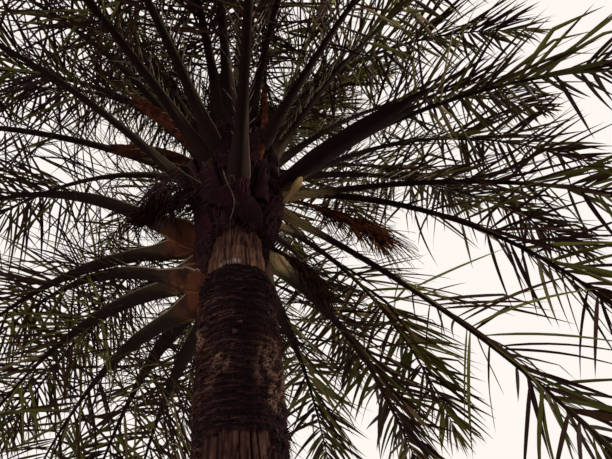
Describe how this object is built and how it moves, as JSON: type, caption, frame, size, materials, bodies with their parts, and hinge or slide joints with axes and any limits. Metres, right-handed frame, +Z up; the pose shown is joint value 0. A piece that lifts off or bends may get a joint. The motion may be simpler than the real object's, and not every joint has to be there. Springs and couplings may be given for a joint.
{
  "type": "date palm tree",
  "caption": "Whole date palm on a leaning, flared trunk with a sleeve of leaf sheaths and a full crown of arching feather fronds.",
  "frame": {"origin": "centre of the flat cut under the trunk, at ground level", "axes": "+Z up; the trunk leans 2 degrees towards -X; the picture looks from -Y towards +Y, and up"},
  "size_m": [7.8359, 7.7791, 8.3],
  "materials": {
    "trunk": "rough, dark brown fibrous bark",
    "sheath": "rough, dark purple-brown fibre",
    "frond": "dull olive green leaflets on a green-brown rib",
    "spathe": "dry, dark red-brown",
    "flower_stalk": "dry, reddish brown"
  },
  "bodies": {
    "root": {"trunk": "trunk", "leaf_sheaths": "sheath", "spear_leaves": "frond", "spathe_right": "spathe", "spathe_left_low": "spathe", "spathe_left_high": "spathe", "spathe_upright": "spathe", "flower_stalks_right": "flower_stalk", "flower_bunch_right": "flower_stalk", "flower_bunch_left": "flower_stalk", "inner_crown": "frond", "lower_frond_1": "frond", "lower_frond_2": "frond", "lower_frond_3": "frond", "lower_frond_4": "frond", "lower_frond_5": "frond", "lower_frond_6": "frond", "lower_frond_7": "frond", "lower_frond_8": "frond", "lower_frond_9": "frond", "lower_frond_10": "frond", "middle_frond_1": "frond", "middle_frond_2": "frond", "middle_frond_3": "frond", "middle_frond_4": "frond", "middle_frond_5": "frond", "middle_frond_6": "frond", "middle_frond_7": "frond", "middle_frond_8": "frond", "middle_frond_9": "frond", "middle_frond_10": "frond", "middle_frond_11": "frond", "middle_frond_12": "frond", "middle_frond_13": "frond", "middle_frond_14": "frond", "middle_frond_15": "frond", "upper_frond_1": "frond", "upper_frond_2": "frond", "upper_frond_3": "frond", "upper_frond_4": "frond", "upper_frond_5": "frond", "upper_frond_6": "frond", "upper_frond_7": "frond", "upper_frond_8": "frond", "upper_frond_9": "frond", "upper_frond_10": "frond", "upper_frond_11": "frond", "upper_frond_12": "frond", "upper_frond_13": "frond", "upper_frond_14": "frond", "upper_frond_15": "frond", "upper_frond_16": "frond", "upper_frond_17": "frond", "upper_frond_18": "frond", "upper_frond_19": "frond", "inner_frond_1": "frond", "inner_frond_2": "frond", "inner_frond_3": "frond", "inner_frond_4": "frond", "inner_frond_5": "frond"}
  },
  "joints": []
}
